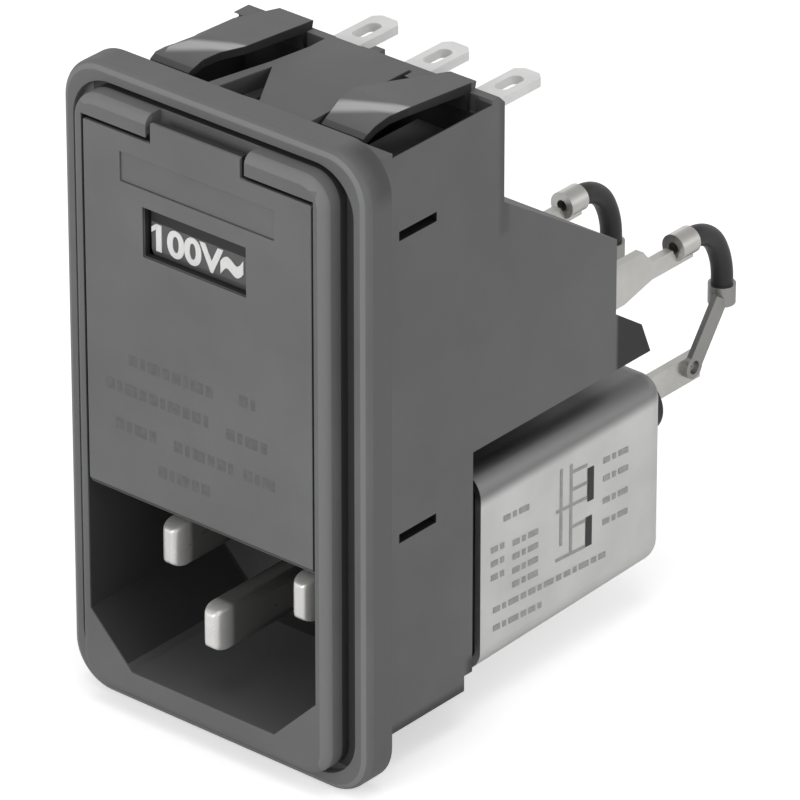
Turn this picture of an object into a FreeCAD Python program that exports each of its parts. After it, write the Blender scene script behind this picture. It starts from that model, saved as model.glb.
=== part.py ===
import FreeCAD, Part
import math
import os
import Sketcher
from FreeCAD import Vector

os.makedirs("parts", exist_ok=True)
doc = FreeCAD.newDocument("power_entry_module")
sheet = doc.addObject("Spreadsheet::Sheet", "sizes")

# Frame: X across the panel, +Y into the panel, +Z up. Origin: middle of the flange's panel side.
PLANES = {"x": "YZ_Plane", "y": "XZ_Plane", "z": "XY_Plane"}
nodes = []
rows = []


class Size:
    """A number together with the spreadsheet expression that gives it."""

    def __init__(self, number, text):
        self.number = number
        self.text = text

    def __add__(self, other):
        return Size(self.number + plain(other), f"({self.text} + {words(other)})")

    def __sub__(self, other):
        return Size(self.number - plain(other), f"({self.text} - {words(other)})")

    def __mul__(self, other):
        return Size(self.number * plain(other), f"({self.text} * {words(other)})")

    def __truediv__(self, other):
        return Size(self.number / plain(other), f"({self.text} / {words(other)})")

    def __neg__(self):
        return Size(-self.number, f"(0 - {self.text})")

    __radd__ = __add__
    __rmul__ = __mul__

    def __rsub__(self, other):
        return Size(plain(other) - self.number, f"({words(other)} - {self.text})")


def plain(value):
    return value.number if isinstance(value, Size) else float(value)


def words(value):
    return value.text if isinstance(value, Size) else repr(value)


def root(value):
    return Size(math.sqrt(plain(value)), f"sqrt({words(value)})")


def size(name, number):
    """Write one named size into the sheet and give it back for use in expressions."""
    rows.append(name)
    row = len(rows)
    sheet.set(f"A{row}", name)
    sheet.set(f"B{row}", str(number))
    sheet.setAlias(f"B{row}", name)
    return Size(number, f"sizes.{name}")


def bind(item, prop, value):
    item.setExpression(prop, words(value))


def tie(kind, *points):
    """A sketch rule without a size."""
    return Sketcher.Constraint(kind, *points), None


def gauge(kind, value, *points):
    """A sketch rule that holds a size."""
    return Sketcher.Constraint(kind, *points, plain(value)), value


def settle(sketch, rules):
    """Give a sketch its rules and bind the sized ones to the sheet."""
    sketch.addConstraint([rule for rule, value in rules])
    for index, (rule, value) in enumerate(rules):
        if value is not None:
            bind(sketch, f"Constraints[{index}]", value)


def poly(*points):
    """A closed outline of straight lines, every corner placed from the origin."""

    def draw(sketch):
        count = len(points)
        spots = [Vector(plain(u), plain(v), 0) for u, v in points]
        for i in range(count):
            sketch.addGeometry(Part.LineSegment(spots[i], spots[(i + 1) % count]), False)
        rules = [tie("Coincident", i, 2, (i + 1) % count, 1) for i in range(count)]
        for i, (u, v) in enumerate(points):
            rules.append(gauge("DistanceX", u, -1, 1, i, 1))
            rules.append(gauge("DistanceY", v, -1, 1, i, 1))
        settle(sketch, rules)

    return draw


def rect(left, right, low, high):
    return poly((left, low), (right, low), (right, high), (left, high))


def round_rect(left, right, low, high, radius):
    """A rectangle with four equal tangent corner arcs."""

    def draw(sketch):
        l, r, b, t, c = [plain(v) for v in (left, right, low, high, radius)]
        runs = [
            ((l + c, b), (r - c, b)),
            ((r, b + c), (r, t - c)),
            ((r - c, t), (l + c, t)),
            ((l, t - c), (l, b + c)),
        ]
        turns = [(r - c, b + c), (r - c, t - c), (l + c, t - c), (l + c, b + c)]
        for start, stop in runs:
            sketch.addGeometry(Part.LineSegment(Vector(*start, 0), Vector(*stop, 0)), False)
        for i, (u, v) in enumerate(turns):
            ring = Part.Circle(Vector(u, v, 0), Vector(0, 0, 1), c)
            first = math.radians(90 * i - 90)
            sketch.addGeometry(Part.ArcOfCircle(ring, first, first + math.pi / 2), False)
        rules = []
        for i in range(4):
            rules.append(tie("Tangent", i, 2, 4 + i, 1))
            rules.append(tie("Tangent", 4 + i, 2, (i + 1) % 4, 1))
        for i in (0, 2):
            rules.append(tie("Horizontal", i))
            rules.append(tie("Vertical", i + 1))
        for i in (5, 6, 7):
            rules.append(tie("Equal", 4, i))
        rules.append(gauge("Radius", radius, 4))
        rules.append(gauge("DistanceY", low, -1, 1, 0, 1))
        rules.append(gauge("DistanceX", right, -1, 1, 1, 1))
        rules.append(gauge("DistanceY", high, -1, 1, 2, 1))
        rules.append(gauge("DistanceX", left, -1, 1, 3, 1))
        settle(sketch, rules)

    return draw


def circle(u, v, *radii):
    """One circle, or a ring between two circles on the same middle."""

    def draw(sketch):
        middle = Vector(plain(u), plain(v), 0)
        rules = []
        for i, radius in enumerate(radii):
            sketch.addGeometry(Part.Circle(middle, Vector(0, 0, 1), plain(radius)), False)
            rules.append(gauge("Radius", radius, i))
            rules.append(gauge("DistanceX", u, -1, 1, i, 3))
            rules.append(gauge("DistanceY", v, -1, 1, i, 3))
        settle(sketch, rules)

    return draw


def piece(name):
    """One separate piece of the object; its label is its file name."""
    body = doc.addObject("PartDesign::Body", name)
    body.Label = name
    nodes.append(body)
    return body


def sketch_on(body, axis, at, draw):
    planes = {item.Role: item for item in body.Origin.OriginFeatures}
    sketch = body.newObject("Sketcher::SketchObject", body.Name + "_sketch")
    sketch.AttachmentSupport = [(planes[PLANES[axis]], "")]
    sketch.MapMode = "FlatFace"
    bind(sketch, "AttachmentOffset.Base.z", -at if axis == "y" else at)
    draw(sketch)
    return sketch


def add(body, axis, low, high, draw):
    """Pad a drawn section along one axis, from low to high."""
    sketch = sketch_on(body, axis, high if axis == "y" else low, draw)
    feature = body.newObject("PartDesign::Pad", body.Name + "_pad")
    feature.Profile = sketch
    bind(feature, "Length", high - low)
    return feature


def cut(body, axis, low, high, draw):
    """Pocket a drawn section along one axis, from low to high."""
    sketch = sketch_on(body, axis, low if axis == "y" else high, draw)
    feature = body.newObject("PartDesign::Pocket", body.Name + "_pocket")
    feature.Profile = sketch
    bind(feature, "Length", high - low)
    return feature


def soften(body, kind, radius, chosen):
    """Fillet or chamfer the edges of the body's tip that the test picks out."""
    doc.recompute()
    base = body.Tip
    names = [f"Edge{i}" for i, edge in enumerate(base.Shape.Edges, start=1) if chosen(edge)]
    feature = body.newObject(f"PartDesign::{kind}", body.Name + "_edge")
    feature.Base = (base, names)
    bind(feature, "Radius" if kind == "Fillet" else "Size", radius)
    return feature


def flat_at(axis, value):
    """A test for edges lying wholly in one plane across an axis."""

    def chosen(edge):
        box = edge.BoundBox
        low = getattr(box, axis.upper() + "Min")
        high = getattr(box, axis.upper() + "Max")
        return abs(low - plain(value)) < 1e-4 and abs(high - plain(value)) < 1e-4

    return chosen


def along(axis, near):
    """A test for straight edges along one axis whose middle lies near given places."""

    def chosen(edge):
        box = edge.BoundBox
        lengths = {"x": box.XLength, "y": box.YLength, "z": box.ZLength}
        run = lengths.pop(axis)
        if run < 0.5 or max(lengths.values()) > 1e-4:
            return False
        middle = {"x": box.Center.x, "y": box.Center.y, "z": box.Center.z}
        return any(all(abs(middle[k] - plain(v)) < 1e-3 for k, v in spot.items()) for spot in near)

    return chosen


# Flange and the raised panel on it
flange_width = size("flange_width", 31.8)
flange_height = size("flange_height", 57.6)
flange_thick = size("flange_thick", 3.15)
flange_corner = size("flange_corner", 4.0)
flange_round = size("flange_round", 0.8)
plateau_rise = size("plateau_rise", 1.9)
plateau_width = size("plateau_width", 26.5)
plateau_height = size("plateau_height", 53.9)
plateau_corner = size("plateau_corner", 2.5)
plateau_round = size("plateau_round", 0.9)
groove_width = size("groove_width", 1.4)
groove_height = size("groove_height", 0.5)
groove_depth = size("groove_depth", 0.9)

# Moulded body behind the panel
wall = size("wall", 1.6)
heel_back = size("heel_back", 1.0)
heel_rise = size("heel_rise", 1.4)
body_top = size("body_top", 26.96)
body_bottom = size("body_bottom", 25.5)
upper_back = size("upper_back", 16.29)
upper_foot = size("upper_foot", 17.39)
rear_back = size("rear_back", 30.73)
rear_top = size("rear_top", 8.36)
shelf_drop = size("shelf_drop", 3.74)
slant_inset = size("slant_inset", 0.89)
rear_edge = size("rear_edge", 0.7)

# Appliance inlet
inlet_width = size("inlet_width", 24.25)
inlet_height = size("inlet_height", 16.04)
inlet_drop = size("inlet_drop", 16.44)
inlet_cut = size("inlet_cut", 4.46)
inlet_depth = size("inlet_depth", 16.0)
inlet_corner = size("inlet_corner", 0.8)
divider = size("divider", 1.52)
divider_back = size("divider_back", 2.4)
pin_width = size("pin_width", 2.0)
pin_height = size("pin_height", 4.0)
pin_spread = size("pin_spread", 7.0)
pin_lift = size("pin_lift", 2.37)
earth_drop = size("earth_drop", 1.63)
pin_reach = size("pin_reach", 12.16)
earth_lead = size("earth_lead", 2.93)
pin_bevel = size("pin_bevel", 0.75)

# Door, its hinge and its pry tab
door_gap = size("door_gap", 0.2)
door_leaf = size("door_leaf", 0.9)
door_top = size("door_top", 24.7)
opening_gap = size("opening_gap", 0.4)
hinge_radius = size("hinge_radius", 1.0)
stub_radius = size("stub_radius", 0.5)
stub_length = size("stub_length", 0.7)
stub_end = size("stub_end", 0.15)
hinge_clear = size("hinge_clear", 0.06)
pry_left = size("pry_left", 4.8)
pry_right = size("pry_right", 4.6)
pry_rise = size("pry_rise", 1.8)
pry_thick = size("pry_thick", 0.9)
pry_gap = size("pry_gap", 0.45)
window_width = size("window_width", 10.8)
window_height = size("window_height", 4.4)
window_shift = size("window_shift", 0.3)
recess_width = size("recess_width", 16.1)
recess_height = size("recess_height", 2.6)
recess_rise = size("recess_rise", 5.1)
recess_depth = size("recess_depth", 0.2)

# Fuses and the carrier on the door
fuse_length = size("fuse_length", 20.0)
fuse_radius = size("fuse_radius", 2.6)
fuse_depth = size("fuse_depth", 4.5)
fuse_low = size("fuse_low", 4.32)
fuse_pitch = size("fuse_pitch", 6.3)
cap_length = size("cap_length", 5.0)
cap_end = size("cap_end", 0.5)
glass_radius = size("glass_radius", 2.3)
glass_bore = size("glass_bore", 1.8)
fuse_wire = size("fuse_wire", 0.15)
carrier_clear = size("carrier_clear", 0.05)
carrier_cheek = size("carrier_cheek", 0.95)
carrier_lip = size("carrier_lip", 0.8)
carrier_edge = size("carrier_edge", 3.4)
room_gap = size("room_gap", 1.2)
contact_gap = size("contact_gap", 0.35)

# Voltage selector drum
drum_clear = size("drum_clear", 0.3)
drum_lift = size("drum_lift", 16.6)
drum_radius = size("drum_radius", 4.8)
drum_end = size("drum_end", 2.2)
band_gap = size("band_gap", 0.25)
face_flat = size("face_flat", 0.26)
spindle_radius = size("spindle_radius", 1.2)
spindle_bed = size("spindle_bed", 0.7)
spindle_end = size("spindle_end", 0.2)
spindle_clear = size("spindle_clear", 0.05)
ring_start = size("ring_start", 7.0)
ring_width = size("ring_width", 1.6)
ring_thick = size("ring_thick", 0.6)
ring_proud = size("ring_proud", 0.1)

# Sheet metal terminals
blade = size("blade", 0.8)
left_side = size("left_side", 4.5)
right_side = size("right_side", 7.5)
strip_low = size("strip_low", 2.0)
strip_high = size("strip_high", 0.5)
strip_shoulder = size("strip_shoulder", 1.05)
strip_crest = size("strip_crest", 0.4)
neck_start = size("neck_start", 11.5)
neck_drop = size("neck_drop", 1.0)
strip_tip = size("strip_tip", 17.6)
pad_thick = size("pad_thick", 0.6)
pad_half = size("pad_half", 1.4)
pad_inner = size("pad_inner", 6.0)
pad_outer = size("pad_outer", 9.6)
link_gap = size("link_gap", 0.6)
link_width = size("link_width", 1.4)
link_top = size("link_top", 10.5)
link_arm = size("link_arm", 2.0)
link_post = size("link_post", 1.5)
tab_pitch = size("tab_pitch", 7.5)
tab_width = size("tab_width", 2.8)
tab_level = size("tab_level", 22.5)
tab_tip = size("tab_tip", 11.06)
tab_slot = size("tab_slot", 1.3)
tab_slot_long = size("tab_slot_long", 3.0)
tab_slot_in = size("tab_slot_in", 1.4)

# Filter can and its terminals
can_gap = size("can_gap", 1.6)
can_length = size("can_length", 24.4)
can_half = size("can_half", 13.3)
can_taper = size("can_taper", 0.2)
can_low = size("can_low", 25.4)
can_high = size("can_high", 6.9)
can_rise = size("can_rise", 0.4)
can_fall = size("can_fall", 0.5)
can_corner = size("can_corner", 2.2)
can_round = size("can_round", 1.9)
can_sheet = size("can_sheet", 0.6)
can_fit = size("can_fit", 0.12)
spigot_length = size("spigot_length", 3.5)
spigot_wall = size("spigot_wall", 1.2)
bushing_radius = size("bushing_radius", 2.6)
bushing_proud = size("bushing_proud", 3.3)
bushing_drop = size("bushing_drop", 0.65)
bushing_flat = size("bushing_flat", 0.3)
bushing_neck = size("bushing_neck", 2.2)
out_level = size("out_level", 12.75)
out_half = size("out_half", 1.25)
out_length = size("out_length", 11.0)
out_hole = size("out_hole", 0.6)
out_hole_in = size("out_hole_in", 1.4)
out_hole_rise = size("out_hole_rise", 0.35)
earth_side = size("earth_side", 9.0)
earth_level = size("earth_level", 19.0)
earth_half = size("earth_half", 1.6)
earth_foot = size("earth_foot", 4.4)
earth_length = size("earth_length", 8.0)
rivet_radius = size("rivet_radius", 0.8)
rivet_head = size("rivet_head", 1.3)
rivet_cap = size("rivet_cap", 0.5)

# Jumper leads between the two terminal rows
wire_radius = size("wire_radius", 0.95)
strip_rise = size("strip_rise", 0.9)
strip_fall = size("strip_fall", 3.0)
barrel_sheet = size("barrel_sheet", 0.25)
barrel_mouth = size("barrel_mouth", 0.5)
barrel_lip = size("barrel_lip", 0.7)
barrel_length = size("barrel_length", 2.2)
wire_level = size("wire_level", 0.6)
loop_out = size("loop_out", 4.8)
loop_far = size("loop_far", 6.7)
loop_fall = size("loop_fall", 3.8)
loop_drop = size("loop_drop", 7.3)
bend_top = size("bend_top", 3.8)
bend_side = size("bend_side", 7.0)
lug_lean = size("lug_lean", 1.03)
lug_lift = size("lug_lift", 0.6)
lug_across = size("lug_across", 0.75)
lug_slope = size("lug_slope", 0.5)
lug_thick = size("lug_thick", 0.5)
lug_ring = size("lug_ring", 1.05)
cup_floor = size("cup_floor", 0.4)
cup_depth = size("cup_depth", 1.4)

# Filter parts sealed in the can
board_thick = size("board_thick", 1.2)
board_margin = size("board_margin", 0.5)
board_clear = size("board_clear", 0.15)
choke_side = size("choke_side", 6.2)
choke_level = size("choke_level", 17.0)
core_radius = size("core_radius", 4.8)
core_bore = size("core_bore", 2.8)
core_width = size("core_width", 5.0)
winding_thick = size("winding_thick", 0.8)
winding_gap = size("winding_gap", 0.9)
film_width = size("film_width", 11.4)
film_height = size("film_height", 6.2)
film_length = size("film_length", 11.3)
film_side = size("film_side", 0.1)
film_level = size("film_level", 9.0)
disc_radius = size("disc_radius", 3.0)
disc_thick = size("disc_thick", 2.6)
disc_stand = size("disc_stand", 4.6)
disc_level = size("disc_level", 19.6)
disc_side = size("disc_side", 9.4)
disc_pitch = size("disc_pitch", 5.2)
lead_radius = size("lead_radius", 0.3)
lead_spread = size("lead_spread", 1.6)
bleed_radius = size("bleed_radius", 1.0)
bleed_length = size("bleed_length", 6.0)
bleed_level = size("bleed_level", 9.9)
bleed_stand = size("bleed_stand", 0.8)
doc.recompute()

# Places derived from the sizes
front = -(flange_thick + plateau_rise)
inlet_top = inlet_height / 2 - inlet_drop
inlet_low = -(inlet_drop + inlet_height / 2)
inlet_half = inlet_width / 2
inlet_floor = front + inlet_depth
inlet_back = inlet_floor + wall
cradle_half = fuse_length / 2 + carrier_clear
carrier_half = cradle_half + carrier_cheek
room_half = carrier_half + room_gap
body_half = room_half + wall
link_outer = room_half - link_gap
room_top = body_top - wall
divider_front = front + divider_back
room_floor = inlet_top + divider
shelf_floor = wall - shelf_drop
hinge_y = front + hinge_radius
hinge_z = inlet_top + hinge_radius
door_half = inlet_half - door_gap
leaf_back = front + door_leaf
opening_top = door_top + opening_gap
pry_top = door_top + pry_rise
fuse_y = hinge_y + fuse_depth
fuse_z = (hinge_z + fuse_low, hinge_z + fuse_low + fuse_pitch)
contact_front = fuse_y + fuse_radius + contact_gap
contact_back = contact_front + pad_thick
drum_y = leaf_back + drum_clear + drum_radius
drum_half = room_half - drum_end
drum_back = drum_clear + drum_radius
band_rise = window_height / 2 - band_gap
band_radius = root(drum_back * drum_back + band_rise * band_rise)
spindle_half = room_half + spindle_bed
can_front = inlet_back + can_gap
can_back = can_front + can_length
spigot_back = inlet_back + spigot_length
board_back = spigot_back + board_thick
terminal_x = {"a": -left_side, "b": right_side}
wire_start = rear_back + strip_tip - barrel_length
hole_y = can_back + out_length - out_hole_in
hole_z = out_hole_rise - out_level

# Housing: flange, raised panel, body, shelf for the terminals and spigot for the can
housing = piece("housing")
add(housing, "y", -flange_thick, Size(0.0, "0"), round_rect(
    -flange_width / 2, flange_width / 2, -flange_height / 2, flange_height / 2, flange_corner))
soften(housing, "Fillet", flange_round, flat_at("y", -flange_thick))
rim_half = plateau_width / 2 + groove_width
rim_high = plateau_height / 2 + groove_height
cut(housing, "y", -flange_thick, groove_depth - flange_thick, round_rect(
    -rim_half, rim_half, -rim_high, rim_high, plateau_corner + groove_width))
add(housing, "y", front, groove_depth - flange_thick, round_rect(
    -plateau_width / 2, plateau_width / 2, -plateau_height / 2, plateau_height / 2, plateau_corner))
soften(housing, "Fillet", plateau_round, flat_at("y", front))
add(housing, "x", -body_half, body_half, poly(
    (-flange_thick / 2, -body_bottom), (inlet_back, -body_bottom), (inlet_back, -shelf_drop),
    (rear_back, -shelf_drop), (rear_back, rear_top), (upper_back, upper_foot),
    (upper_back, body_top), (-flange_thick / 2, body_top)))
soften(housing, "Chamfer", rear_edge, along("x", [{"y": upper_back, "z": body_top}]))
cut(housing, "x", -body_half, body_half, rect(
    inlet_back - heel_back, inlet_back, -body_bottom, heel_rise - body_bottom))

# Can spigot behind the inlet, open in the middle for the pin tails
spigot_half = can_half - can_sheet - can_fit
spigot_low = can_sheet + can_fit - can_low
spigot_high = -(can_high + can_sheet + can_fit)
add(housing, "y", inlet_back, spigot_back, round_rect(
    -spigot_half, spigot_half, spigot_low, spigot_high, can_corner - can_sheet))
cut(housing, "y", inlet_back, spigot_back, round_rect(
    spigot_wall - spigot_half, spigot_half - spigot_wall, spigot_low + spigot_wall,
    spigot_high - spigot_wall, can_corner - can_sheet))

# Inlet well
cut(housing, "y", front, inlet_floor, poly(
    (-inlet_half, inlet_top), (-inlet_half, inlet_low + inlet_cut),
    (inlet_cut - inlet_half, inlet_low), (inlet_half - inlet_cut, inlet_low),
    (inlet_half, inlet_low + inlet_cut), (inlet_half, inlet_top)))

# Door opening, pry notch and the room behind the door
cut(housing, "y", front, divider_front, rect(-inlet_half, inlet_half, inlet_top, opening_top))
cut(housing, "y", front, -flange_thick, rect(
    -(pry_left + pry_gap), pry_right + pry_gap, door_top, flange_height / 2))
cut(housing, "x", -room_half, room_half, poly(
    (divider_front, room_floor), (inlet_floor, room_floor), (inlet_floor, shelf_floor),
    (rear_back - wall, shelf_floor), (rear_back - wall, rear_top - slant_inset),
    (upper_back - wall, upper_foot - slant_inset), (upper_back - wall, room_top),
    (divider_front, room_top)))

# Blind bearings for the door hinge and the drum spindle
for side in (-1, 1):
    ends = [side * inlet_half, side * (door_half + stub_length + stub_end)]
    ends.sort(key=plain)
    cut(housing, "x", *ends, circle(hinge_y, hinge_z, stub_radius + hinge_clear))
    ends = [side * room_half, side * (spindle_half + spindle_end)]
    ends.sort(key=plain)
    cut(housing, "x", *ends, circle(drum_y, drum_lift, spindle_radius + spindle_clear))

# Slits in the side faces that grip the panel clips
slit_half = size("slit_half", 0.42)
slit_start = size("slit_start", 3.35)
slit_stop = size("slit_stop", 7.95)
slit_depth = size("slit_depth", 1.3)
slit_top = size("slit_top", 19.37)
slit_low = size("slit_low", 7.79)
for side in (-1, 1):
    for level in (slit_top, -slit_low):
        ends = [side * (body_half - slit_depth), side * body_half]
        ends.sort(key=plain)
        cut(housing, "x", *ends, rect(slit_start, slit_stop, level - slit_half, level + slit_half))

# Rear lug on the shelf's right end
lug_start = size("lug_start", 8.0)
lug_rise = size("lug_rise", 5.24)
lug_step = size("lug_step", 3.4)
lug_reach = size("lug_reach", 4.6)
lug_knee = size("lug_knee", 2.94)
add(housing, "x", lug_start, body_half, poly(
    (rear_back - wall / 2, -shelf_drop), (rear_back + lug_reach, -shelf_drop),
    (rear_back + lug_step, lug_knee - shelf_drop), (rear_back, lug_rise - shelf_drop),
    (rear_back - wall / 2, lug_rise - shelf_drop)))

# Ribs that part the selector tabs
rib_half = size("rib_half", 0.5)
rib_length = size("rib_length", 5.46)
rib_low = size("rib_low", 19.5)
rib_high = size("rib_high", 24.0)
rib_slope = size("rib_slope", 0.5)
for side in (-1, 1):
    middle = side * tab_pitch / 2
    add(housing, "x", middle - rib_half, middle + rib_half, poly(
        (upper_back - wall / 2, rib_low), (upper_back + rib_length, rib_low),
        (upper_back + rib_length, rib_high - rib_slope), (upper_back - wall / 2, rib_high)))

# Windows in the roof around the two snap tongues
win_start = size("win_start", 2.55)
win_stop = size("win_stop", 14.75)
win_inner = size("win_inner", 5.2)
win_step = size("win_step", 0.46)
win_lap = size("win_lap", 0.1)
win_lip = size("win_lip", 0.15)
left_rim = size("left_rim", 10.3)
web_start = size("web_start", 5.6)
web_mid = size("web_mid", 4.2)
web_end = size("web_end", 3.6)
web_turn = size("web_turn", 8.75)
web_stop = size("web_stop", 12.75)
cut(housing, "z", room_top, body_top, rect(win_inner, room_half, win_start, win_stop))
cut(housing, "y", win_start, win_stop, poly(
    (room_half - win_lap, room_top), (body_half - win_lip, body_top - win_step),
    (body_half, body_top - win_step), (body_half, body_top), (room_half - win_lap, body_top)))
cut(housing, "z", room_top, body_top, poly(
    (-room_half, win_start), (-web_start, win_start), (-web_mid, web_turn), (-web_end, web_stop),
    (-web_end, win_stop), (-room_half, win_stop)))
cut(housing, "z", room_top, body_top, rect(-body_half, -left_rim, win_start, upper_back))
gusset_front = size("gusset_front", 4.5)
gusset_tip = size("gusset_tip", 0.3)
gusset_foot = size("gusset_foot", 3.5)
gusset_back = size("gusset_back", 8.15)
cut(housing, "z", room_top, body_top, poly(
    (-gusset_front, win_start), (-gusset_tip, win_start + 0.4), (-gusset_foot, gusset_back)))

# Snap tongues, rooted at the back of their windows and free at the front
tongue_left = size("tongue_left", 5.6)
tongue_right = size("tongue_right", 11.4)
tongue_short = size("tongue_short", 12.4)
tongue_free = size("tongue_free", 3.55)
tongue_knee = size("tongue_knee", 7.25)
tongue_brow = size("tongue_brow", 5.85)
tongue_peak = size("tongue_peak", 1.39)
brow_rise = size("brow_rise", 0.99)
tongue_tip = size("tongue_tip", -0.4)
tongue_thick = size("tongue_thick", 0.7)
for low, high in ((tongue_left, tongue_right), (-tongue_short, -tongue_left)):
    add(housing, "x", low, high, poly(
        (win_stop + 0.4, room_top), (win_stop + 0.9, body_top + 0.64),
        (tongue_knee, body_top + tongue_peak), (tongue_brow, body_top + brow_rise),
        (tongue_free, body_top + tongue_tip), (tongue_free, body_top + tongue_tip - tongue_thick),
        (tongue_brow, body_top + brow_rise - tongue_thick),
        (tongue_knee, body_top + tongue_peak - tongue_thick), (win_stop - 0.6, body_top - 0.06),
        (win_stop - 0.2, room_top)))

# The left tongue falls off to the left, and each tongue narrows towards its root on its left side
ridge_left = size("ridge_left", 9.5)
cut(housing, "y", tongue_free, win_stop + 0.9, poly(
    (-tongue_short, body_top), (-ridge_left, body_top + tongue_peak),
    (-tongue_short, body_top + tongue_peak)))
root_right = size("root_right", 8.7)
root_left = size("root_left", 9.2)
nick_left = size("nick_left", 1.2)
cut(housing, "z", body_top, body_top + tongue_peak, poly(
    (tongue_left, tongue_knee), (root_right, win_stop + 0.9), (tongue_left, win_stop + 0.9)))
cut(housing, "z", body_top, body_top + tongue_peak, poly(
    (-tongue_short, tongue_brow), (nick_left - tongue_short, tongue_knee), (-root_left, win_stop + 0.9),
    (-tongue_short, win_stop + 0.9)))

# Each tongue's free end is cut back on its right side
taper_right = size("taper_right", 1.45)
taper_left = size("taper_left", 2.7)
taper_bend = size("taper_bend", 1.3)
taper_low = body_top + tongue_tip - tongue_thick
for edge, taper in ((tongue_right, taper_right), (-tongue_left, taper_left)):
    cut(housing, "z", taper_low, body_top + tongue_peak, poly(
        (edge, tongue_free), (edge, tongue_knee), (edge - taper * 0.85, tongue_free + taper_bend),
        (edge - taper, tongue_free)))

# Notch in the roof's rear edge
notch_left = size("notch_left", 3.3)
notch_right = size("notch_right", 0.4)
notch_deep = size("notch_deep", 0.8)
cut(housing, "z", room_top, body_top, rect(-notch_left, -notch_right, upper_back - notch_deep, upper_back))

# Posts that carry the link strips
for side in (-1, 1):
    ends = [side * (link_outer - link_width), side * (room_half + wall / 2)]
    ends.sort(key=plain)
    add(housing, "x", *ends, rect(
        contact_back, contact_back + link_post, link_top - 5, link_top - 2.5))

# Slots that the pins, tabs and strips are pressed into
pin_places = {
    "line_pin": (pin_spread, pin_lift - inlet_drop, Size(0.0, "0")),
    "neutral_pin": (-pin_spread, pin_lift - inlet_drop, Size(0.0, "0")),
    "earth_pin": (Size(0.0, "0"), -(inlet_drop + earth_drop), earth_lead),
}
for x, z, lead in pin_places.values():
    cut(housing, "y", inlet_floor, inlet_back, rect(
        x - pin_width / 2, x + pin_width / 2, z - pin_height / 2, z + pin_height / 2))
for step in (-1, 0, 1):
    middle = step * tab_pitch
    cut(housing, "y", upper_back - wall, upper_back, rect(
        middle - tab_width / 2, middle + tab_width / 2, tab_level - blade / 2, tab_level + blade / 2))
for x in terminal_x.values():
    cut(housing, "y", rear_back - wall, rear_back, rect(
        x - blade / 2, x + blade / 2, -strip_low, strip_high))

# Inlet pins with bevelled tips, pressed through the inlet floor to the filter board
for name, (x, z, lead) in pin_places.items():
    pin = piece(name)
    tip = inlet_floor - pin_reach - lead
    add(pin, "y", tip, board_back, rect(
        x - pin_width / 2, x + pin_width / 2, z - pin_height / 2, z + pin_height / 2))
    soften(pin, "Chamfer", pin_bevel, flat_at("y", tip))

# Selector tabs: flat blades through the upper rear wall, sprung down to the drum in front
spring_front = size("spring_front", 4.85)
spring_knee = size("spring_knee", 7.45)
spring_drop = size("spring_drop", 1.8)
tab_bevel = size("tab_bevel", 0.6)
for name, step in (("left", -1), ("middle", 0), ("right", 1)):
    tab = piece(f"selector_tab_{name}")
    middle = step * tab_pitch
    half = blade / 2
    add(tab, "x", middle - tab_width / 2, middle + tab_width / 2, poly(
        (upper_back + tab_tip, tab_level + half), (spring_knee, tab_level + half),
        (spring_front - 0.25, tab_level + half - spring_drop),
        (spring_front + 0.25, tab_level - half - spring_drop + 0.2),
        (spring_knee + 0.3, tab_level - half), (upper_back + tab_tip, tab_level - half)))
    slot_end = upper_back + tab_tip - tab_slot_in
    cut(tab, "z", tab_level - half, tab_level + half, round_rect(
        middle - tab_slot / 2, middle + tab_slot / 2, slot_end - tab_slot_long, slot_end,
        tab_slot / 2.02))
    soften(tab, "Chamfer", tab_bevel, along("z", [
        {"x": middle + side * tab_width / 2, "y": upper_back + tab_tip} for side in (-1, 1)]))

# Terminal strips: from a pad behind a fuse cap, through the rear wall, to a crimp barrel
strip_back = rear_back + strip_tip
barrel_radius = wire_radius + barrel_sheet
for name, x in terminal_x.items():
    strip = piece(f"terminal_strip_{name}")
    low, high = -strip_low, strip_high
    if name == "a":
        lift = fuse_z[1]
        nose = [
            (contact_front, lift - pad_half), (contact_back + 1.5, lift - pad_half),
            (contact_back + 4.5, low)]
        crown = [
            (contact_back + 5, high), (contact_back + 2, lift + pad_half),
            (contact_front, lift + pad_half)]
        span = (-pad_outer, x + blade / 2, lift - pad_half, lift + pad_half)
    else:
        lift = fuse_z[0]
        nose = [(contact_front, low), (contact_back + 1, low)]
        crown = [(contact_back + 1, high), (contact_front, high)]
        span = (pad_inner, pad_outer, lift - pad_half, high)
    outer_low = low - strip_shoulder
    barrel_low = -wire_level - wire_radius
    add(strip, "x", x - blade / 2, x + blade / 2, poly(
        *nose, (rear_back, low), (rear_back, outer_low),
        (rear_back + neck_start - strip_fall, outer_low),
        (rear_back + neck_start + 0.6, outer_low + strip_rise), (strip_back, outer_low + strip_rise),
        (strip_back, barrel_low), (strip_back - barrel_length, barrel_low),
        (strip_back - barrel_length - 0.6, high - neck_drop),
        (rear_back + neck_start + 0.6, high - neck_drop),
        (rear_back + neck_start - 0.6, high + strip_crest), (rear_back, high + strip_crest),
        (rear_back, high), *crown))
    add(strip, "y", contact_front, contact_back, rect(*span))
    add(strip, "y", strip_back - barrel_length, strip_back, circle(x, -wire_level, barrel_radius))
    cut(strip, "y", strip_back - barrel_length, strip_back, circle(x, -wire_level, barrel_mouth))
    cut(strip, "y", wire_start + barrel_lip, strip_back, circle(x, -wire_level, wire_radius))

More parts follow.
